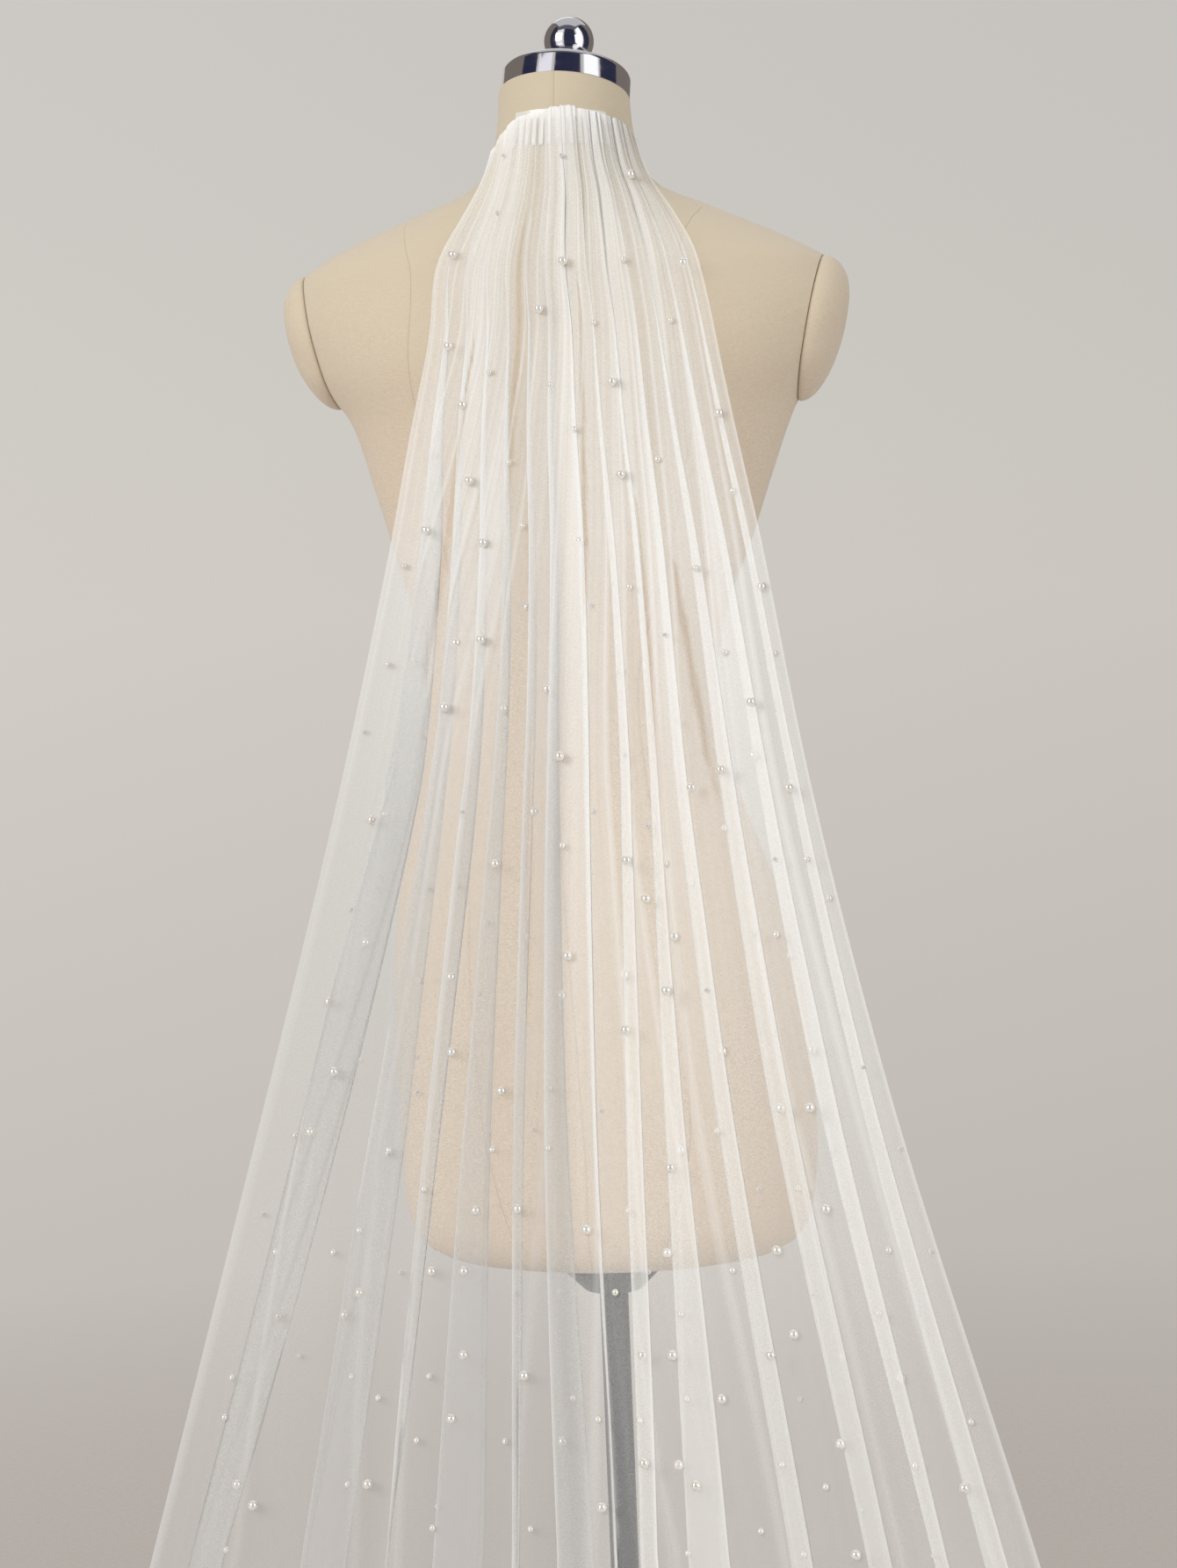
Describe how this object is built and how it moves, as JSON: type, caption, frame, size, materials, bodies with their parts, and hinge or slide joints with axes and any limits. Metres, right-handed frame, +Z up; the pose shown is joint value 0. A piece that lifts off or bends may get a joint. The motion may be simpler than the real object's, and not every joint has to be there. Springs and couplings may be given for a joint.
{
  "type": "pearl bridal veil on a limbless dress form",
  "caption": "Long tulle bridal veil with pearls, gathered on a comb at the neck of a limbless dress form on a round-based stand, its folds falling free to a train on the floor.",
  "frame": {"origin": "centre of the stand base's underside, on the pole's axis, on the floor", "axes": "+Z up along the pole; the form's back and the veil face -Y, and its front faces +Y"},
  "size_m": [1.0669, 1.51, 1.6978],
  "materials": {
    "tulle": "matte",
    "linen": "matte",
    "chrome": "polished",
    "dark_metal": "satin",
    "comb_plastic": "satin",
    "pearl": "gloss",
    "crystal": "gloss"
  },
  "bodies": {
    "root": {"veil_head": "tulle", "veil_fall": "tulle", "veil_train": "tulle", "veil_comb": "comb_plastic", "form_torso": "linen", "arm_cap_left": "linen", "arm_cap_right": "linen", "neck_cap": "chrome", "cap_finial": "chrome", "hub_plate": "dark_metal", "pole": "dark_metal", "stand_base": "dark_metal"}
  },
  "joints": []
}
